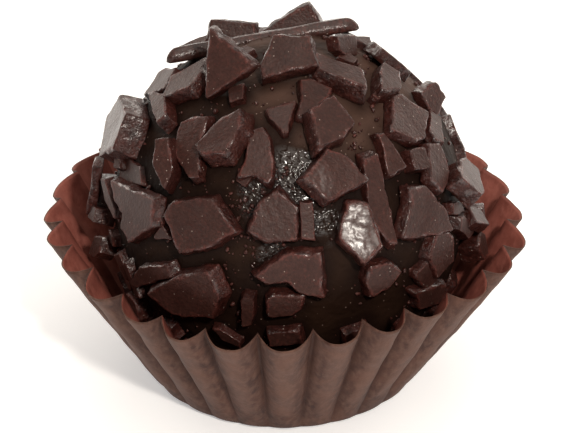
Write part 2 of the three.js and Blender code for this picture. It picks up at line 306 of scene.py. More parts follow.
# %% The form of the case
CASE_BASE_RADIUS = 13.1
CASE_MEAN_RIM_RADIUS = 21.8
CASE_WALL_LENGTH = 18.1
CASE_SQUARENESS = 0.35
CASE_CORNER_BEARING = -16.5
PLEATS = 28
PLEAT_ROUNDING = 0.62
PLEAT_SHARPNESS = 2.4
PAPER = 0.12
case_spread = CASE_MEAN_RIM_RADIUS - CASE_BASE_RADIUS


def pleat_depth(part):
    paper_radius = CASE_BASE_RADIUS + CASE_WALL_LENGTH * part
    wall_radius = CASE_BASE_RADIUS + case_spread * part
    spare = np.sqrt((paper_radius / wall_radius) ** 2 - 1)
    return PLEAT_ROUNDING * math.pi * wall_radius / PLEATS * spare


print("the pleats are", round(float(pleat_depth(1.0)), 2), "mm deep at the rim")

# %% [markdown]
# A machine presses the pleats, but fingers open the case and the ball pushes it out, so no two
# pleats are quite alike. Slow waves round the case shift the folds and change their depth a
# little, and four soft corners show how the case was held.

# %% The pleats round the case
COLUMNS = PLEATS * 22
CASE_CORNERS = 4
FOLD_DRIFT = 0.6
FOLD_WAVES = [(3, -0.8), (7, 0.6)]
DEPTH_WAVES = [(5, 1.0), (13, 2.0)]
DEPTH_CHANGE = 0.09

even = np.arange(COLUMNS) / COLUMNS * 2 * math.pi
drift = sum((degrees * np.sin(count * even) for count, degrees in FOLD_WAVES), FOLD_DRIFT)
bearings = even + np.radians(drift)
turns = even * PLEATS / (2 * math.pi)
wave = 1 - 2 * (2 * np.abs(turns - np.round(turns))) ** PLEAT_SHARPNESS
vigour = sum((DEPTH_CHANGE * np.sin(count * even + start) for count, start in DEPTH_WAVES), 1)
corners = np.cos(CASE_CORNERS * (even - math.radians(CASE_CORNER_BEARING)))
print("the folds drift by up to", round(float(abs(drift).max()), 1), "degrees")

# %% [markdown]
# The sheet is a stack of rings from the middle of the base to the rim: the flat base, a soft
# bend at the foot, and the wall. On the wall a ring reaches out by the slope and by its share of
# the pleats, and it ends as high as the length of the paper allows. That is why the rim dips at
# every outer fold.

# %% The rings of the sheet
ROWS = 46
BASE_RINGS = (0.4, 3, 6, 9, 11, 12.2)
BEND_RINGS = 6
BEND_START = 12.6
BEND_CORNER = 13.25
BEND_END = 0.05


def wall(part):
    slope = (case_spread + CASE_SQUARENESS * corners) * part
    reach = slope + 0.5 * pleat_depth(part) * wave * vigour
    return CASE_BASE_RADIUS + reach, np.sqrt((CASE_WALL_LENGTH * part) ** 2 - reach ** 2)


# Each ring: its radius and height at every column, and its part of the wall, from 0 to 1.
level = np.full(COLUMNS, PAPER / 2)
sheet_rings = [(np.full(COLUMNS, radius), level, 0.0) for radius in BASE_RINGS]
foot_radius, foot_height = wall(BEND_END)
for t in np.linspace(0, 1, BEND_RINGS + 1)[:-1]:
    bend = [(1 - t) ** 2, 2 * t * (1 - t), t * t]
    radius = bend[0] * BEND_START + bend[1] * BEND_CORNER + bend[2] * foot_radius
    height = (bend[0] + bend[1]) * PAPER / 2 + bend[2] * foot_height
    sheet_rings.append((radius, height, BEND_END * t * t))
sheet_rings += [(*wall(part), part) for part in np.linspace(BEND_END, 1, ROWS)]
print(len(sheet_rings), "rings of", COLUMNS, "points")

# %% [markdown]
# Thin paper keeps every touch. A coarse and a fine crumple push the wall in and out by less
# than a tenth of a millimetre, and the rim rises and falls a little more than that.

# %% The crumple of the paper
CRUMPLE = 0.09
FINE_CRUMPLE = 0.03
RIM_WAVE = 0.12


def above_foot(part):
    return min(1, 4 * part)


rings = []
for radius, height, part in sheet_rings:
    ring = np.stack([radius * np.sin(bearings), -radius * np.cos(bearings), height], 1)
    if part > 0:
        crumple = CRUMPLE * above_foot(part) * unevenness(ring, 4.2, 11)
        crumple += FINE_CRUMPLE * unevenness(ring, 1.6, 12) * part
        ring *= 1 + (crumple / np.linalg.norm(ring[:, :2], axis=1))[:, None] * (1, 1, 0)
        ring[:, 2] += RIM_WAVE * part ** 3 * unevenness(ring * (1, 1, 0), 5.0, 13)
    rings.append(ring)
sheet_points = np.concatenate([[(0, 0, PAPER / 2)], *rings])
print("sheet of", len(sheet_points), "points")

# %% [markdown]
# Greaseproof paper is thin enough for light to get lost in it: outside it looks a dusty
# grey-brown with cloudy fibres, and inside, where light comes through it, a warm brick red. The
# outer folds are painted paler, as painted light on the ridges, and the inner folds darker, as
# painted shade in the creases. Two finishes do this, one for each side of the sheet.

# %% The paper's two finishes
# Darker paper, also painted deep in the inner folds as shade; plain paper; and paler paper, also
# painted on the outer folds as light.
OUTSIDE_COLOURS = (0.042, 0.0165, 0.0117, 1), (0.092, 0.042, 0.0295, 1), (0.146, 0.077, 0.057, 1)
INSIDE_COLOURS = (0.155, 0.044, 0.033, 1), (0.26, 0.078, 0.058, 1), (0.34, 0.122, 0.094, 1)


def paper_finish(name, deep, plain, pale, roughness):
    finish, tree, shader = new_finish(name)
    clouds = cloud(tree, 2.4, 5, 0.62)
    fibres = cloud(tree, 0.55, 4, 0.6, (1, 1, 0.35))
    specks = cloud(tree, 0.22, 2, 0.5)
    colour = blend(tree, remap(tree, clouds, 0.36, 0.62), deep, plain)
    colour = blend(tree, remap(tree, fibres, 0.42, 0.75, 0, 0.68), colour, pale)
    fold = stored(tree, "fold")
    # Painted light on the outer folds, and painted shade in the inner folds.
    colour = blend(tree, remap(tree, fold, 0.6, 1.0, 0, 0.45), colour, pale)
    colour = blend(tree, remap(tree, fold, 0.1, -0.9, 0, 0.75), colour, deep)
    tree.links.new(colour, shader.inputs["Base Color"])
    dullness = remap(tree, clouds, 0.3, 0.7, roughness - 0.08, roughness + 0.06)
    tree.links.new(dullness, shader.inputs["Roughness"])
    shader.inputs["Specular IOR Level"].default_value = 0.2
    soft = bump(tree, fibres, 0.05)
    tree.links.new(bump(tree, specks, 0.02, soft), shader.inputs["Normal"])
    return finish


paper_outside = paper_finish("paper_outside", *OUTSIDE_COLOURS, 0.7)
paper_inside = paper_finish("paper_inside", *INSIDE_COLOURS, 0.6)
print("two paper finishes")

# %% [markdown]
# The sheet is given its thickness by a Solidify modifier, which also puts the inside finish on
# the inner skin. This is how one would do it by hand, and the rim gets its thin edge for free.
# Each point also keeps where it lies between an inner fold (-1) and an outer one (1).

# %% The case as a piece
case_piece = make_piece(
    "pleated_case", sheet_points, ring_faces(len(sheet_rings), COLUMNS, False),
    [paper_outside, paper_inside], "paper_case",
)
folds = [wave * above_foot(part) for _, _, part in sheet_rings]
store(case_piece, "fold", np.concatenate([[0], *folds]))
thickness = case_piece.modifiers.new("thickness", "SOLIDIFY")
thickness.thickness = PAPER * MM
thickness.offset = 0
thickness.use_even_offset = True
thickness.material_offset = 1
thickness.material_offset_rim = 0

# %% [markdown]
# ## The fudge ball
# The ball is rolled by hand, so it is round but not true. A fine ball of triangles is pushed in
# and out by low, soft lumps and two finer waves. It is cut level at the bottom, where it sits in
# the case.

# %% The ball
BALL_DETAIL = 7
BALL_FLOOR = 0.6
LUMP_HEIGHT = 0.22
LUMP_WAVES = [(4.1, 1.3), (3.7, 0.4), (4.6, 2.1)]
FINE_WAVES = [(0.05, 5.0, 21), (0.03, 1.9, 22)]


def triangle_ball(detail):
    bm = bmesh.new()
    bmesh.ops.create_icosphere(bm, subdivisions=detail, radius=1)
    points = np.array([v.co for v in bm.verts])
    faces = [[v.index for v in f.verts] for f in bm.faces]
    bm.free()
    return points, faces


directions, ball_faces = triangle_ball(BALL_DETAIL)
directions /= np.linalg.norm(directions, axis=1)[:, None]
lumps = [np.sin(rate * axis + start) for axis, (rate, start) in zip(directions.T, LUMP_WAVES)]
reach = BALL_RADIUS + LUMP_HEIGHT * (lumps[0] * lumps[1] * lumps[2])
for height, wavelength, seed in FINE_WAVES:
    reach += height * unevenness(directions * BALL_RADIUS, wavelength, seed)
ball_points = directions * reach[:, None] + np.array(BALL_CENTRE)
ball_points[:, 2] = np.maximum(ball_points[:, 2], BALL_FLOOR)
print("ball from", round(reach.min(), 2), "to", round(reach.max(), 2), "mm from its middle")

# %% [markdown]
# Cooked fudge dries to a dull, near-black skin. On the crown it is painted paler, as painted light
# that grows towards the right. Where it was torn open it is grainy and wet: the grain gets deeper
# there and a clear coat lies over it, which breaks the lamp into many small glints. Close to the
# shards the fudge is painted darker as painted shade, and pale specks lie on it, partly chocolate
# specks and partly painted glints.

# %% The fudge finish
FUDGE_COLOURS = (0.0145, 0.0062, 0.0036, 1), (0.023, 0.0105, 0.0060, 1)
PAINTED_CROWN_LIGHT_COLOUR = (0.105, 0.058, 0.044, 1)
PAINTED_SHADE_COLOUR = (0.009, 0.0034, 0.0022, 1)
SPECK_AND_GLINT_COLOUR = (0.42, 0.3, 0.25, 1)


def fudge_finish():
    finish, tree, shader = new_finish("fudge")
    painted_crown_light = stored(tree, "painted_crown_light")
    wet = stored(tree, "wet")
    tint = remap(tree, cloud(tree, 5.5, 3, 0.5), 0.4, 0.62)
    colour = blend(tree, tint, *FUDGE_COLOURS)
    # Painted light: the crown is lightened, less where the fudge is wet.
    painted_crown_light = calculate(tree, "MULTIPLY", painted_crown_light, remap(tree, wet, 0, 0.6, 1, 0.1))
    colour = blend(tree, painted_crown_light, colour, PAINTED_CROWN_LIGHT_COLOUR)
    # Painted shade: the fudge is darker close to a shard's foot, less so under the painted crown
    # light.
    near = calculate(tree, "MULTIPLY", stored(tree, "near"), remap(tree, painted_crown_light, 0, 1, 1.0, 0.35))
    colour = blend(tree, near, colour, PAINTED_SHADE_COLOUR)
    # Pale specks in the base colour, partly chocolate specks and partly painted glints.
    specks = calculate(tree, "MULTIPLY", sparkles(tree, 0.5, 0.07, 0.3), 0.5)
    colour = blend(tree, specks, colour, SPECK_AND_GLINT_COLOUR)
    tree.links.new(colour, shader.inputs["Base Color"])
    shader.inputs["Roughness"].default_value = 0.66
    shader.inputs["Specular IOR Level"].default_value = 0.1
    skin = bump(tree, cloud(tree, 1.1, 3, 0.5), 0.10)
    grain = remap(tree, cloud(tree, 0.55, 1.5, 0.5), 0.3, 0.7)
    grain = calculate(tree, "MULTIPLY", grain, remap(tree, wet, 0, 1, 0.15, 1))
    surface = bump(tree, grain, 0.14, skin)
    tree.links.new(surface, shader.inputs["Normal"])
    tree.links.new(remap(tree, wet, 0.4, 0.85), shader.inputs["Coat Weight"])
    tree.links.new(surface, shader.inputs["Coat Normal"])
    shader.inputs["Coat Roughness"].default_value = 0.17
    shader.inputs["Coat IOR"].default_value = 1.52
    return finish


fudge = fudge_finish()
print("fudge finish with", len(fudge.node_tree.nodes), "nodes")

# %% [markdown]
# Where the fudge is wet and where its crown is painted lighter are stored point by point. The wet
# patches are round spots at chosen places, with a ragged outline, and a slow unevenness adds a
# few more round the back. The painted light lies on the crown only and grows towards the right.

# %% The fudge ball as a piece
# Each patch: bearing, height and half width, in degrees.
WET_PATCHES = [(3, 41, 6), (5, 34, 7), (10, 24, 5), (-13, 32, 4), (-5, 15, 4)]
WET_FILL, WET_RAGGEDNESS = 1.75, 0.4
STRAY_FROM, STRAY_WETNESS = 0.75, 0.8
CROWN_LIGHT_FROM, CROWN_LIGHT_FULL = 0.55, 0.8
CROWN_LIGHT_MIDDLE, CROWN_LIGHT_TO_RIGHT, CROWN_LIGHT_CLOUDS = 0.42, 1.2, 0.5


def patch(outward, bearing, height, width, fill=1.5, ragged=0):
    cosines = outward @ np.array(towards(bearing, height))
    away = np.degrees(np.arccos(np.clip(cosines, -1, 1)))
    return np.clip(fill - away / width + ragged, 0, 1)


ragged = WET_RAGGEDNESS * unevenness(directions * BALL_RADIUS, 2.5, 25)
wet = np.zeros(len(directions))
for place in WET_PATCHES:
    wet = np.maximum(wet, patch(directions, *place, WET_FILL, ragged))
stray = np.clip(unevenness(directions * BALL_RADIUS, 9.0, 23) - STRAY_FROM, 0, 1)
wet = np.maximum(wet, STRAY_WETNESS * stray)

# Painted light: the crown of the ball is lightened, more towards the right.
crown = np.clip((directions[:, 2] - CROWN_LIGHT_FROM) / (CROWN_LIGHT_FULL - CROWN_LIGHT_FROM), 0, 1)
cloudy = CROWN_LIGHT_CLOUDS * unevenness(directions * BALL_RADIUS, 6.0, 24)
painted_crown_light = crown * np.clip(CROWN_LIGHT_MIDDLE + CROWN_LIGHT_TO_RIGHT * directions[:, 0] + cloudy, 0, 1)

fudge_ball = make_piece("fudge_ball", ball_points, ball_faces, [fudge], "ball")
store(fudge_ball, "wet", wet)
store(fudge_ball, "painted_crown_light", painted_crown_light)

# %% [markdown]
# ## The shapes of the shards
# The coat is a thin slab of chocolate, broken by hand. Broken pieces keep the slab's two flat
# faces and have a few straight sides, so a handful of outlines, stretched, turned and flipped,
# gives a whole coat. Each outline here fits in a box one long and one wide.

# %% Outlines
OUTLINES = {
    "triangle": [(-0.5, -0.5), (0.5, -0.42), (-0.05, 0.5)],
    "fang": [(-0.48, -0.5), (0.5, -0.5), (-0.1, 0.5), (-0.25, 0.45), (-0.5, -0.15)],
    "slab": [(-0.37, -0.5), (0.1, -0.5), (0.5, -0.28), (0.27, 0.43), (-0.35, 0.5), (-0.5, 0.29)],
    "shield": [(-0.5, 0), (-0.22, -0.5), (0.31, -0.26), (0.5, 0.26), (0.1, 0.5), (-0.48, 0.5)],
    "house": [(-0.15, 0.5), (-0.5, -0.42), (0.13, -0.5), (0.5, -0.33), (0.5, 0.49)],
    "kite": [(0.5, 0), (-0.02, 0.5), (-0.5, 0.08), (-0.32, -0.49), (0.37, -0.5)],
    "halfmoon": [
        (-0.5, -0.5), (0, -0.36), (0.5, -0.45), (0.42, 0.4), (0.1, 0.5), (-0.21, 0.3),
        (-0.5, -0.19),
    ],
    "slat": [(-0.5, -0.5), (0.5, -0.43), (0.5, 0.3), (-0.16, 0.5), (-0.5, -0.19)],
    "fin": [
        (-0.5, 0.4), (-0.34, -0.02), (0.01, -0.5), (0.36, -0.5), (0.33, -0.13), (0.5, 0.45),
        (0.2, 0.5),
    ],
    "boomerang": [
        (0.5, 0.01), (0.31, 0.2), (0.02, 0.16), (-0.15, 0.39), (-0.5, 0.5), (-0.45, -0.5),
        (0.03, -0.5),
    ],
    "tile": [(-0.5, 0.48), (-0.43, -0.21), (-0.17, -0.47), (0.46, -0.5), (0.5, 0.26), (0.37, 0.5)],
    "trapeze": [(-0.5, -0.5), (0.5, -0.3), (0.35, 0.5), (-0.45, 0.4)],
    "stub": [(-0.5, -0.45), (0.5, -0.5), (0.48, 0.5), (-0.47, 0.47)],
}
print(len(OUTLINES), "outlines")

# %% [markdown]
# ## Where the shards lie
# The eye goes to the front of the sweet, so the shards there are set one by one. A row says:
# outline, bearing, height, turn, length, width (negative flips it over), thickness, lift from
# its seat, and, for a shard that leans, where its broad face looks.

# %% The shards set one by one
PLACED_SHARDS = [
    # The crown: a long bar across the back, a triangle and a block standing against it.
    ("stub", -151, 70, 168.5, 19, 3.8, 1.4, -0.65, -158, 63),
    ("triangle", -45, 68, 276, 7.2, 5.6, 1.2, 0.2, -28, 25),
    ("slat", -3, 78, 16, 5.5, 4.4, 1.6, 0.25, -8, 48),
    ("trapeze", 45, 68, 16, 3, 6.2, 1.9, 0.3, 60, 72),
    ("house", -78, 57, 328, 4.5, -4.3, 1.4, 0.3),
    ("stub", 180, 63, 30, 7.6, 4.6, 1.3, -3.8, 0, 22),
    ("stub", -141, 61, 267, 2.3, 5.1, 1.4, -0.7, -3, 28),
    ("slat", -126, 51, 321, 1.3, -3.6, 1, 0.3, -60, 60),
    ("tile", 88, 74, 339, 3.9, 2.1, 1.2, 0.2, 62, 18),
    ("slat", 76, 71, 276, 1.8, 1.5, 1, 0.3, 60, 75),
    ("stub", -25, 77, 40, 1.5, 1.2, 1, 0.3),
    ("trapeze", -80, 77, 108, 1.4, 2, 1, 0.3),
    ("trapeze", 30, 71, 84, 1.8, -1.4, 1.1, 0.3),
    ("trapeze", 37, 68, 243, 1.6, -1.1, 1, 0.3),
    ("stub", 38, 80, 10, 1.5, 1.3, 1.1, 0.2),
    # Above the middle.
    ("stub", -37, 63, 128, 2.1, 1.7, 1, 0.2),
    ("fang", -1, 57, 20, 3.3, -3.2, 1.1, 0.3),
    ("fin", 16, 63, 156, 3.5, -4.6, 1.2, 0.2),
    ("house", 17, 53, 10, 5.2, 4.2, 1.9, 0.2, 36, 52),
    ("shield", -26, 48, 76, 6.2, 3.6, 2.2, 0.3, -46, 50),
    ("halfmoon", -44, 42, 112, 6.4, 3.9, 1.1, 0.25),
    ("halfmoon", -12, 45, 176, 3.3, -5.8, 1.2, 0.1),
    ("fin", 43, 40, 172, 2.6, 4.4, 1.3, 0.2),
    ("tile", 62, 45, 32, 5.1, 4.7, 1.2, 0.3),
    # The left side.
    ("kite", -86, 28, 184, 7.2, 6.2, 2.5, 0.2, -81, 26),
    ("trapeze", -79, 22, 117, 1.6, 1.4, 1, 0.3, -60, 30),
    ("slat", -73, 46, 351, 5.3, 2, 1.6, 0.2),
    ("slab", -96, 47, 40, 5.6, 3.8, 1.2, 0.2),
    ("kite", -48, 34, 200, 2.3, 5.4, 2, 0.3, -28, 38),
    ("boomerang", -58, 14, 284, 5.6, -8.8, 1.2, 0.3),
    ("stub", -92, 4, 20, 3.6, 3, 2, 0.2),
    ("slat", -88, 8, 82, 6.4, 2.6, 0.9, 1.9, -93, 10),
    ("kite", -76, 11, 325, 5, -1.8, 1, 0.3, -64, 5),
    ("slab", -71, 23, 16, 7, 2.3, 0.9, -0.3),
    # The middle.
    ("house", 17, 37, 124, 5.2, 5, 1.5, 0.25, 25, 45),
    ("slat", 31, 28, 88, 9.2, 2.5, 1.1, 0.25),
    ("kite", 21, 21, 104, 6.5, 4, 1.6, 0.25, 8, 35),
    ("fin", 49, 19, 160, 8, 5.1, 1.3, 0.3),
    ("slab", -29, 22, 24, 7.6, 5.2, 1.4, 0.25),
    ("triangle", -43, 15, 16, 2.6, 1.7, 1, 0.2),
    ("shield", -3, 27, 68, 5.3, 4.8, 1.4, 0.25),
    ("stub", 6, 26, 0, 1.4, 3.9, 1, 0.1),
    ("boomerang", 0, 10, 180, 6.9, 4.8, 1.3, 0.3),
    ("house", -18, 38, 336, 1.8, -1.3, 0.9, 0),
    # The right side.
    ("house", 88, 43, 296, 3.8, 3, 1.1, 0.2, 52, 20),
    ("house", 75, 36, 104, 2.3, -4, 1.1, 0.3, 75, 45),
    ("slat", 98, 24, 66, 3.2, 1.8, 1.1, 0.2, 95, 20),
    ("kite", 63, 28, 48, 5.3, -3.9, 1.2, 0.3),
    ("tile", 72, 19, 282, 3.8, -4.7, 1.9, 0.2, 85, 42),
    ("slat", 97, 59, 5, 4.1, 4, 1.2, 0.2, 118, 44),
    ("house", 69, 57, 20, 4.9, -2.5, 1.8, 0.3),
    ("stub", 62, 57, 0, 2.9, -0.9, 1.2, 0.2),
    ("stub", 55, 34, 340, 2.6, 2.3, 1.4, 0.1),
    ("stub", 75, 4, 226, 2.1, -3.1, 1.4, 0.3, 85, 42),
    ("slab", 69, 4, 232, 2, -5.4, 1.4, 0.3),
    ("house", 67, 12, 159, 3.2, -1.3, 1.1, 0.3),
    ("trapeze", 72, 6, 69, 1.3, 3.3, 1.1, 0.3),
    ("tile", 97, 12, 40, 4.6, 3.8, 1.2, 0.1),
    # Low down, partly inside the case.
    ("tile", -1, 0, 180, 3.8, -2.6, 1.3, 0.3),
    ("slat", -47, -1, 33, 7.6, 2, 1.2, 0.2),
    ("shield", -32, -3, 296, 5.1, 9.4, 1.4, 0.3),
    ("shield", 29, 6, 104, 3.5, 4.1, 1.4, 0.2),
    ("house", 48, -10, 344, 6.3, -2.7, 1.2, 0.3),
    ("kite", 53, 5, 8, 4.8, 5.3, 1.4, 0.1),
    ("slab", 47, -2, 304, 4.2, -2.4, 1.2, 0.1),
    ("tile", -12, -3, 92, 3.7, 1.4, 1.4, 0.2),
    ("stub", -1, -13, 8, 3.5, 2, 1.2, 0.2),
    ("kite", -20, -16, 322, 3.5, -1.3, 1, 0.2),
    ("trapeze", 22, -15, 10, 3.2, 1.8, 1.2, 0.1),
    ("trapeze", 82, -4, 336, 3.8, -1.8, 1.2, 0.2),
    ("kite", 80, -9, 60, 3.2, 2.6, 2.2, 0.3, 72, 22),
    ("stub", 84, -1, 70, 2.6, 2.2, 2.2, 0.2, 86, 10),
    ("slat", -75, -3, 15, 2.6, 1.6, 1.1, 0.2),
    ("stub", -84, 0, 20, 2.4, 1.6, 2, 0.3, -75, 20),
    ("house", -80, -9, 30, 3, 2.2, 1.8, 0.3, -70, 22),
    ("trapeze", -64, -7, 312, 3.1, 1.4, 1, 0.2, -50, 0),
    ("slat", -58, -19, 295, 3, 1.6, 1.6, 0.2, -50, 0),
    ("slab", -66, -12, 140, 3.6, 2.2, 1.1, 0.1),
    ("stub", -58, -9, 120, 4, 1.2, 1.1, 0.3),
]
print(len(PLACED_SHARDS), "shards set by hand")

# %% [markdown]
# Round the back and low down in the case the coat goes on without end. There a rule sets it.
# Eight numbers between 0 and 1 decide a shard's outline, turn, size and lean. Above the rim the
# shards are larger and stand freer than inside the case, where they have less room.

# %% The rule for the spread shards
SPREAD_COUNT = 235
SPREAD_CLEARANCE = 13
SPREAD_HIGHEST = 78
SPREAD_LOWEST = -47
SPREAD_LEAST_WIDTH = 0.5
SPREAD_WIDTH_RANGE = 0.45
SPREAD_LEAST_THICKNESS = 1
SPREAD_THICKNESS_RANGE = 0.6
FRONT_HALF_WIDTH = 98
FRONT_LOWEST = -19

# Least length, growth of the length, lean in degrees and most lift.
FREE_FROM = 8
FREE_SHARD = (3.2, 4.2, 22, 0.25)
SHELTERED_SHARD = (2.8, 2.4, 8, 0.1)
STEEPEST_LEAN = 60
GOLDEN_ANGLE = 180 * (3 - math.sqrt(5))


def spread_row(bearing, height, draws):
    pick, turn, size, shape, thick, rise, lean_east, lean_north = draws
    least, growth, lean, lift = FREE_SHARD if height > FREE_FROM else SHELTERED_SHARD
    narrowing = math.cos(math.radians(min(height, STEEPEST_LEAN)))
    length = least + growth * size * size
    return (
        list(OUTLINES)[int(pick * len(OUTLINES))], bearing, height, 360 * turn,
        length, length * (SPREAD_LEAST_WIDTH + SPREAD_WIDTH_RANGE * shape),
        SPREAD_LEAST_THICKNESS + SPREAD_THICKNESS_RANGE * thick * thick, lift * rise,
        bearing + lean * (lean_east - 0.5) / narrowing, height + lean * (lean_north - 0.5),
    )


print("an average spread shard:", spread_row(180, 30, [0.5] * 8))

# %% [markdown]
# A golden spiral gives evenly spaced places on the whole ball, and those near a listed shard are
# left out. The eight numbers come from a seeded draw. It is a plain one, so that the solid model
# can repeat it exactly.

# %% The shards spread by rule
SPREAD_SEED = 7333
DRAW_FACTOR = 1664525
DRAW_STEP = 1013904223
DRAW_RANGE = 2 ** 32
DRAWS_PER_SHARD = 8


def spread_shards():
    state = SPREAD_SEED
    placed = [towards(row[1], row[2]) for row in PLACED_SHARDS]
    rows = []
    for k in range(SPREAD_COUNT):
        height = math.degrees(math.asin(1 - (2 * k + 1) / SPREAD_COUNT))
        bearing = (k * GOLDEN_ANGLE + 180) % 360 - 180
        draws = []
        for _ in range(DRAWS_PER_SHARD):
            state = (state * DRAW_FACTOR + DRAW_STEP) % DRAW_RANGE
            draws.append(state / DRAW_RANGE)
        in_reach = SPREAD_LOWEST < height < SPREAD_HIGHEST
        in_front = abs(bearing) < FRONT_HALF_WIDTH and height > FRONT_LOWEST
        spot = towards(bearing, height)
        crowded = any(p.angle(spot) < math.radians(SPREAD_CLEARANCE) for p in placed)
        if in_reach and not in_front and not crowded:
            rows.append(spread_row(bearing, height, draws))
    return rows


SPREAD_SHARDS = spread_shards()
print(len(SPREAD_SHARDS), "shards spread by rule")

# %% [markdown]
# ## How a shard meets the ball
# A shard is pressed into soft fudge until its deepest corner is half a millimetre in. The seat
# is found by sliding the shard along the line from the ball's middle until the last point of its
# underside is that deep. A shard without a lean of its own looks straight out from the ball.

# %% The seat of a shard
SHARD_BITE = 0.5


def seat(row, corners):
    _, bearing, height, turn, _, _, thick, lift, *faces = row
    out = towards(bearing, height)
    faces_bearing, faces_height = faces or (bearing, height)
    normal = towards(faces_bearing, faces_height)
    east = towards(faces_bearing + 90, 0)
    north = normal.cross(east)
    along = east * math.cos(math.radians(turn)) + north * math.sin(math.radians(turn))
    across = normal.cross(along)
    reach = BALL_RADIUS - SHARD_BITE
    steps = []
    for x, y in [*corners, (0, 0)]:
        corner = along * x + across * y - normal * (thick / 2)
        rise = corner.dot(out)
        steps.append(math.sqrt(reach ** 2 - corner.length_squared + rise ** 2) - rise)
    centre = BALL_CENTRE + out * (max(steps) + lift)
    return np.array(centre), np.array([along, across, normal])


print("the first shard sits at", np.round(seat(PLACED_SHARDS[0], [(0, 0)])[0], 1))

# %% [markdown]
# ## The shape of one shard
# Chocolate tumbled in a bag loses its sharp corners. First the outline's corners are rounded,
# by replacing each one with a short arc, longer where the corner is sharp. Then the line is
# divided into steps, which are closer together where it bends.

# %% Rounding an outline
ARC_STEPS = 7
LONGEST_CUT = 0.44
CORNER_CARE = 0.5


def rounded_line(corners, radius, count):
    corners = np.array(corners, float)
    x, y = corners.T
    if np.sum(x * np.roll(y, -1) - np.roll(x, -1) * y) < 0:
        corners = corners[::-1]
    line = []
    for before, corner, after in zip(np.roll(corners, 1, 0), corners, np.roll(corners, -1, 0)):
        sides = [before - corner, after - corner]
        lengths = [np.linalg.norm(side) for side in sides]
        cosine = sides[0] @ sides[1] / (lengths[0] * lengths[1])
        cut = max(0.6 * radius, radius * math.sqrt((1 + cosine) / 2) / (1 - cosine))
        ends = [corner + side * min(cut / run, LONGEST_CUT) for side, run in zip(sides, lengths)]
        for t in np.linspace(0, 1, ARC_STEPS):
            line.append((1 - t) ** 2 * ends[0] + 2 * t * (1 - t) * corner + t * t * ends[1])
    line = np.array(line)
    closed = np.vstack([line, line[:1]])
    steps = np.diff(closed, axis=0)
    heading = np.arctan2(steps[:, 1], steps[:, 0])
    bend = abs((heading - np.roll(heading, 1) + math.pi) % (2 * math.pi) - math.pi)
    run = np.concatenate([[0], np.cumsum(np.linalg.norm(steps, axis=1) + CORNER_CARE * bend)])
    steps = np.arange(count) / count * run[-1]
    return np.stack([np.interp(steps, run, closed[:, k]) for k in (0, 1)], 1)


print("a rounded triangle:", rounded_line(OUTLINES["triangle"], 0.1, 40).shape)

# %% [markdown]
# A shard is then built like a stack of rings. From the middle of its underside the rings run
# out, round the lower edge, up the broken side, round the upper edge and in to the middle of its
# upper face. Each ring says how broken the surface is there, from 0 on the faces to 1 on the
# sides, and the finish reads this later.

# %% The rings of a shard
UNDERSIDE_SCALES = (0.5, 0.88)
LOWER_EDGE_ANGLES = (0, 45, 90)
SIDE_SHARES = (0.33, 0.67)
UPPER_EDGE_ANGLES = (90, 68, 45, 22, 0)
SHOULDER = [(0.95, 0.25), (0.89, 0.05)]
UPPER_FACE_SCALES = (0.8, 0.7, 0.6, 0.5, 0.4, 0.3, 0.2, 0.1)


# Each ring: inset from the outline, scale, level, change of level at the edge, and brokenness.
def edge_profile(thick, edge):
    half = thick / 2
    rings = [(edge, scale, -half, 0, 0.0) for scale in UNDERSIDE_SCALES]
    for angle in LOWER_EDGE_ANGLES:
        a = math.radians(angle)
        inset, drop = edge * (1 - math.sin(a)), edge * (1 - math.cos(a))
        rings.append((inset, 1, -half, drop, 0.55 + 0.45 * math.sin(a)))
    for share in SIDE_SHARES:
        rings.append((0, 1, -half + edge + (thick - 2 * edge) * share, 0, 1.0))
    for angle in UPPER_EDGE_ANGLES:
        a = math.radians(angle)
        inset, drop = edge * (1 - math.sin(a)), edge * (1 - math.cos(a))
        rings.append((inset, 1, half, -drop, 0.5 + 0.5 * math.sin(a)))
    rings += [(edge, scale, half, 0, mark) for scale, mark in SHOULDER]
    rings += [(edge, scale, half, 0, 0.0) for scale in UPPER_FACE_SCALES]
    return rings


RING_COUNT = len(edge_profile(1.2, 0.2))
print("a shard has", RING_COUNT, "rings")

# %% [markdown]
# The faces were cast against a mould and stay nearly flat, while the sides broke: they are wavy
# and lean in a little. Edges are worn more in some places than in others. The long bar on the
# crown is the exception. It is the rim of the slab, moulded all round, so its edges are smooth
# and well rounded. On small shards every wave is smaller, so that they keep their shape.

# %% Building a shard
SHARD_TAPER = 0.93
SMALL_BELOW = 3.0
MOULDED = {("stub", -151)}
MOULDED_ROUNDING, BROKEN_ROUNDING = 0.5, 0.28
MOULDED_EDGE, BROKEN_EDGE, WIDEST_BROKEN_EDGE = 0.42, 0.2, 0.26
OUTLINE_WAVE = 0.05
SIDE_WAVE, SIDE_RIPPLE = 0.17, 0.06
FACE_WAVE, FACE_RIPPLE = 0.045, 0.012
LEAST_LEAN_IN, MORE_LEAN_IN = 0.02, 0.12
USUAL_WEAR, WEAR_CHANGE = 0.8, 0.6
LEAST_WEAR, MOST_WEAR = 0.35, 1.4
FRONT_POINTS, BACK_POINTS = 52, 40


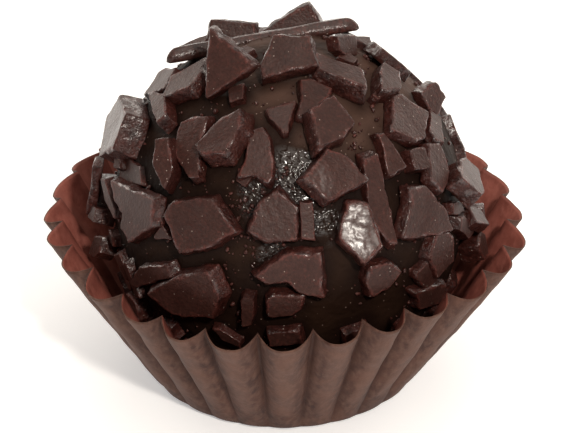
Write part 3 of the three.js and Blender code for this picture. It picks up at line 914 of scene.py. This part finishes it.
def shard_rings(row, number, count):
    outline, _, _, _, length, width, thick = row[:7]
    corners = [(x * length, y * width) for x, y in OUTLINES[outline]]
    narrow = min(length, abs(width))
    small = min(1.0, narrow / SMALL_BELOW)
    moulded = row[:2] in MOULDED
    edge = MOULDED_EDGE * thick if moulded else min(WIDEST_BROKEN_EDGE, BROKEN_EDGE * thick)
    line = rounded_line(corners, (MOULDED_ROUNDING if moulded else BROKEN_ROUNDING) * small, count)
    middle = line.mean(0)
    along_line = np.roll(line, -1, 0) - np.roll(line, 1, 0)
    outward = np.stack([along_line[:, 1], -along_line[:, 0]], 1)
    outward /= np.linalg.norm(outward, axis=1)[:, None]

    # Each shard reads the unevenness at a level of its own, so no two shards are alike.
    own_level = np.full(count, 7.0 * number)
    flat = np.column_stack([line, own_level])
    line += outward * (OUTLINE_WAVE * small * unevenness(flat, 1.5, 36))[:, None]
    rays = (line - middle) / np.linalg.norm(line - middle, axis=1)[:, None]
    slant = np.maximum(0.35, (rays * outward).sum(1))
    slope = LEAST_LEAN_IN + MORE_LEAN_IN * np.clip(unevenness(flat, 4.0, 31) + 0.3, 0, 1)
    lean_in = slope * 2 / narrow
    wear = USUAL_WEAR + WEAR_CHANGE * unevenness(flat, 2.4, 37)
    wear = 1.0 if moulded else np.clip(wear, LEAST_WEAR, MOST_WEAR)

    rings, marks = [], []
    for inset, scale, level, drop, mark in edge_profile(thick, edge):
        z = level + drop * wear
        rise = (level + drop + thick / 2) / thick
        ring = line - rays * (inset * wear * small / slant)[:, None]
        if moulded:
            mark *= 0.3
        elif mark > 0.5:
            wavy = np.column_stack([line, z * 1.6 + own_level])
            side = SIDE_WAVE * small * unevenness(wavy, 1.5, 32)
            ripple = SIDE_RIPPLE * unevenness(wavy, 0.7, 33)
            waviness = mark - 0.4
            ring += outward * side[:, None] * waviness
            ring += outward * ripple[:, None] * waviness
        ring = middle + (ring - middle) * scale * (1 - lean_in * rise * small)[:, None]
        ring *= 1 - (1 - SHARD_TAPER) * rise
        solid = np.column_stack([ring, np.full(count, z)])
        apart = solid + 9.0 * number
        face = FACE_WAVE * unevenness(apart, 3.4, 34) + FACE_RIPPLE * unevenness(apart, 0.9, 35)
        solid[:, 2] += face * small
        rings.append(solid)
        marks += [mark] * count
    low, high = rings[0].mean(0), rings[-1].mean(0)
    centre, axes = seat(row, corners)
    points = np.vstack([[low], *rings, [high]]) @ axes + centre
    return points, [0.0, *marks, 0.0]


print("the long bar has", len(shard_rings(PLACED_SHARDS[0], 0, FRONT_POINTS)[0]), "points")

# %% [markdown]
# ## The chocolate finish
# Cast faces are dull with a faint tooth, and pale specks lie on them, partly dust and partly
# painted glints. Along its edges the chocolate is painted redder and paler, partly wear and partly
# a painted glow of light through the thin edge. The broken sides are dark, partly their own colour
# and partly painted shade, and crumbly and patchily melted, which catches the light. The mark that
# each point keeps blends the three, and a draw for each shard makes some a little paler than
# others.

# %% The colours of the shards
CAST_COLOURS = (0.037, 0.0144, 0.0115, 1), (0.051, 0.0210, 0.0166, 1)
EDGE_WEAR_AND_GLOW_COLOURS = (0.074, 0.020, 0.016, 1), (0.112, 0.034, 0.027, 1)
SIDE_AND_SHADE_COLOURS = (0.018, 0.0046, 0.0036, 1), (0.052, 0.0138, 0.0104, 1)
SHARD_TONES = (0.89, 0.88, 0.87, 1), (1.04, 1.02, 1.01, 1)
GRAIN_TONES = (0.8, 0.78, 0.78, 1), (1.2, 1.18, 1.18, 1)
DUST_AND_GLINT_COLOUR = (0.6, 0.5, 0.44, 1)


def shard_colour(tree, broken, tone, grit):
    mottle = remap(tree, cloud(tree, 1.3, 5, 0.7), 0.35, 0.65)
    patches = remap(tree, cloud(tree, 1.6, 2, 0.5), 0.42, 0.6)
    worn = calculate(tree, "ADD", broken, remap(tree, grit, 0.35, 0.65, -0.28, 0.28))
    cast = blend(tree, mottle, *CAST_COLOURS)
    edge = blend(tree, mottle, *EDGE_WEAR_AND_GLOW_COLOURS)
    side = blend(tree, mottle, *SIDE_AND_SHADE_COLOURS)
    patchy = remap(tree, patches, 0, 1, 0.25, 1)
    # Edge colour: partly wear, partly a painted glow of light shining through the thin edge.
    rubbed_and_glow = calculate(tree, "MULTIPLY", remap(tree, worn, 0.1, 0.5), patchy)
    colour = blend(tree, rubbed_and_glow, cast, edge)
    # Side colour: partly the broken chocolate's own dark colour, partly painted shade.
    colour = blend(tree, remap(tree, worn, 0.62, 0.98), colour, side)
    grain = remap(tree, cloud(tree, 0.26, 2, 0.6), 0.33, 0.67)
    for share, tones in ((tone, SHARD_TONES), (grain, GRAIN_TONES)):
        colour = blend(tree, 1.0, colour, blend(tree, share, *tones), "MULTIPLY")
    # Pale specks: partly dust, partly painted glints.
    dust_and_glints = calculate(tree, "MULTIPLY", sparkles(tree, 0.45, 0.06, 0.32), 0.55)
    return blend(tree, dust_and_glints, colour, DUST_AND_GLINT_COLOUR)


print("cast faces at their darkest:", CAST_COLOURS[0][:3])

# %% [markdown]
# The surface has three reliefs, one on top of the other: a fine tooth all over, dimples that a
# glossy shard shows most, and crumbs of the broken sides. A thin clear coat stands for melted
# cocoa butter. It follows the dimples but not the tooth, so its reflections are sharper.

# %% The shard finish
def shard_finish():
    finish, tree, shader = new_finish("chocolate_shard")
    broken, tone, gloss = (stored(tree, name) for name in ("broken", "tone", "gloss"))
    grit = cloud(tree, 0.3, 3, 0.6)
    tree.links.new(shard_colour(tree, broken, tone, grit), shader.inputs["Base Color"])
    tree.links.new(remap(tree, broken, 0.3, 0.9, 0.47, 0.36), shader.inputs["Roughness"])
    shader.inputs["Specular IOR Level"].default_value = 0.28

    tooth = bump(tree, cloud(tree, 0.27, 3, 0.6), 0.07)
    dimples = remap(tree, cloud(tree, 0.62, 1, 0.5), 0.3, 0.7)
    depth = calculate(tree, "ADD", calculate(tree, "MULTIPLY", gloss, 0.8), 0.2)
    waves = calculate(tree, "MULTIPLY", dimples, depth)
    crumbly = calculate(tree, "SUBTRACT", grit, 0.5)
    crumbly = calculate(tree, "MULTIPLY", crumbly, remap(tree, broken, 0.05, 0.5))
    surface = bump(tree, crumbly, 0.16, bump(tree, waves, 0.05, tooth))
    tree.links.new(surface, shader.inputs["Normal"])

    spots = remap(tree, cloud(tree, 0.8, 2, 0.5), 0.48, 0.6)
    melted = calculate(tree, "MULTIPLY", remap(tree, broken, 0.4, 0.7), spots)
    gloss = calculate(tree, "MULTIPLY", gloss, remap(tree, broken, 0.05, 0.4, 1, 0.3))
    film = bump(tree, crumbly, 0.07, bump(tree, waves, 0.034))
    tree.links.new(calculate(tree, "MAXIMUM", gloss, melted), shader.inputs["Coat Weight"])
    tree.links.new(film, shader.inputs["Coat Normal"])
    shader.inputs["Coat Roughness"].default_value = 0.22
    return finish


chocolate_shard = shard_finish()
print("shard finish with", len(chocolate_shard.node_tree.nodes), "nodes")

# %% [markdown]
# ## The coat
# All shards set one by one become one piece, and all shards spread by rule another. The ones in
# front get more points, since they are seen close to. A few shards were left glossy by the
# mould, and a few spots have been rubbed to a shine. Most of the others are dull.

# %% The two coats
GLOSSY = {("stub", -151): 0.8, ("kite", -86): 0.58, ("tile", 72): 0.12, ("shield", -3): 0.3}

# Each spot: bearing, height and half width in degrees, and strength.
GLOSS_SPOTS = [
    (20, 25, 4.2, 0.45), (19, 18, 4, 0.45), (11, 37, 3.6, 1.0), (-22, -2, 3, 1.0), (-40, 1, 3, 1.0),
]


def coat(name, rows, count, first_number):
    pattern = ring_faces(RING_COUNT, count, True)
    points, marks, tones, glosses, faces = [], [], [], [], []
    draw = np.random.default_rng(first_number + 3)
    start = 0
    for number, row in enumerate(rows, first_number):
        shard, broken = shard_rings(row, number, count)
        points.append(shard)
        marks += broken
        tones += [draw.uniform(0, 1)] * len(shard)
        gloss = np.full(len(shard), GLOSSY.get(row[:2], max(0, draw.uniform(-0.5, 0.2))))
        outward = shard - np.array(BALL_CENTRE)
        outward /= np.linalg.norm(outward, axis=1)[:, None]
        for *place, strength in GLOSS_SPOTS:
            gloss = np.maximum(gloss, strength * patch(outward, *place))
        glosses += gloss.tolist()
        faces += [tuple(start + corner for corner in face) for face in pattern]
        start += len(shard)
    points = np.vstack(points)
    piece = make_piece(name, points, faces, [chocolate_shard], "ball")
    for key, values in (("broken", marks), ("tone", tones), ("gloss", glosses)):
        store(piece, key, values)
    return points


coat_points = np.vstack([
    coat("front_shards", PLACED_SHARDS, FRONT_POINTS, 0),
    coat("back_shards", SPREAD_SHARDS, BACK_POINTS, 100),
])

# %% [markdown]
# ## Where the shards meet the fudge
# Round the foot of each shard the fudge is painted darker, as painted shade. For each point of the
# ball the nearest point of a shard's foot is looked up, and the closer it is, the darker the
# fudge gets there.

# %% Painted shade round each shard
NEAR_REACH = 1.3
FOOT_HEIGHT = 0.5

from_middle = np.linalg.norm(coat_points - np.array(BALL_CENTRE), axis=1)
feet = coat_points[from_middle < BALL_RADIUS + FOOT_HEIGHT]
lookup = KDTree(len(feet))
for number, foot in enumerate(feet):
    lookup.insert(foot, number)
lookup.balance()
gap = np.array([lookup.find(point)[2] for point in ball_points])
# Closeness to a shard's foot: the fudge finish paints shade with it, and crumbs gather by it.
near = np.clip(1 - gap / NEAR_REACH, 0, 1)
store(fudge_ball, "near", near)
print(round(float((near > 0).mean() * 100)), "% of the fudge lies close to a shard")

# %% [markdown]
# ## Crumbs
# Breaking a slab leaves crumbs. They gather in a few patches, in the corners between the shards
# and, a little, where the fudge is wet. First each point of the ball gets a likelihood, and the
# crumbs' places are drawn by it. None lie low down, inside the case.

# %% The places of the crumbs
CRUMB_COUNT = 1400
CRUMBS_ABOVE = 9
LIKELY_ANYWHERE, LIKELY_WET, LIKELY_IN_PATCH = 0.05, 0.2, 3

# Each patch: bearing, height and half width, in degrees.
CRUMBY_PATCHES = [(-9, 37, 8), (-18, 26, 6), (-12, 15, 6), (31, 48, 4), (-32, 20, 4)]

crumby = np.zeros(len(directions))
for place in CRUMBY_PATCHES:
    crumby = np.maximum(crumby, patch(directions, *place))
beside = near * (near < 0.8)
likely = LIKELY_ANYWHERE + beside + LIKELY_WET * wet + LIKELY_IN_PATCH * crumby
likely *= ball_points[:, 2] > CRUMBS_ABOVE
draw = np.random.default_rng(41)
places = draw.choice(len(ball_points), CRUMB_COUNT, replace=False, p=likely / likely.sum())
print("room for crumbs on", round(float((likely > 0).mean() * 100)), "% of the ball")

# %% [markdown]
# Each crumb is a small ball of triangles with its corners pushed in and out at random, so that
# it looks chipped. Small ones are far more common than large ones. All crumbs are one piece at
# their true size, a few tenths of a millimetre.

# %% Crumbs on the fudge
SMALLEST_CRUMB, CRUMB_GROWTH = 0.08, 0.26
CRUMB_FORM = (1, 0.85, 0.6)
CRUMB_CORNERS = (0.55, 1.25)
CRUMB_STANDS_OUT = 0.35

crumb_points, crumb_faces = triangle_ball(1)
corner_count = len(crumb_points)
points, faces = [], []
for number, place in enumerate(places):
    size = SMALLEST_CRUMB + CRUMB_GROWTH * draw.uniform() ** 3
    turned = np.linalg.qr(draw.normal(size=(3, 3)))[0]
    crumb = crumb_points * draw.uniform(*CRUMB_CORNERS, (corner_count, 1)) * CRUMB_FORM * size
    out = directions[place] * size * CRUMB_STANDS_OUT
    points.append(crumb @ turned + ball_points[place] + out)
    faces += [[corner + number * corner_count for corner in face] for face in crumb_faces]
crumbs = make_piece("crumbs", np.vstack(points), faces, [chocolate_shard], "ball")
for key, low, high in (("broken", 0.5, 1.0), ("tone", 0.3, 1.0), ("gloss", 0.0, 0.5)):
    store(crumbs, key, np.repeat(draw.uniform(low, high, CRUMB_COUNT), corner_count))

# %% [markdown]
# ## The floor
# A plain pale floor lets the soft shadow of the case say that it stands on something, and
# throws white light back up under the pleats. It glows a little by itself, as a lit table does.

# %% Floor
FLOOR_REACH = 2.0
FLOOR_COLOUR = (0.9, 0.9, 0.9, 1)
FLOOR_GLOW = 0.37

floor_finish, _, floor_shader = new_finish("pale_floor")
floor_shader.inputs["Base Color"].default_value = FLOOR_COLOUR
floor_shader.inputs["Roughness"].default_value = 0.9
floor_shader.inputs["Emission Color"].default_value = (1, 1, 1, 1)
floor_shader.inputs["Emission Strength"].default_value = FLOOR_GLOW
floor_mesh = bpy.data.meshes.new("floor")
floor_corners = np.array([(-1, -1, 0), (1, -1, 0), (1, 1, 0), (-1, 1, 0)]) * FLOOR_REACH
floor_mesh.from_pydata(floor_corners.tolist(), [], [(0, 1, 2, 3)])
floor_mesh.materials.append(floor_finish)
floor = bpy.data.objects.new("floor", floor_mesh)
bpy.context.scene.collection.objects.link(floor)
print("floor", 2 * FLOOR_REACH, "m across")
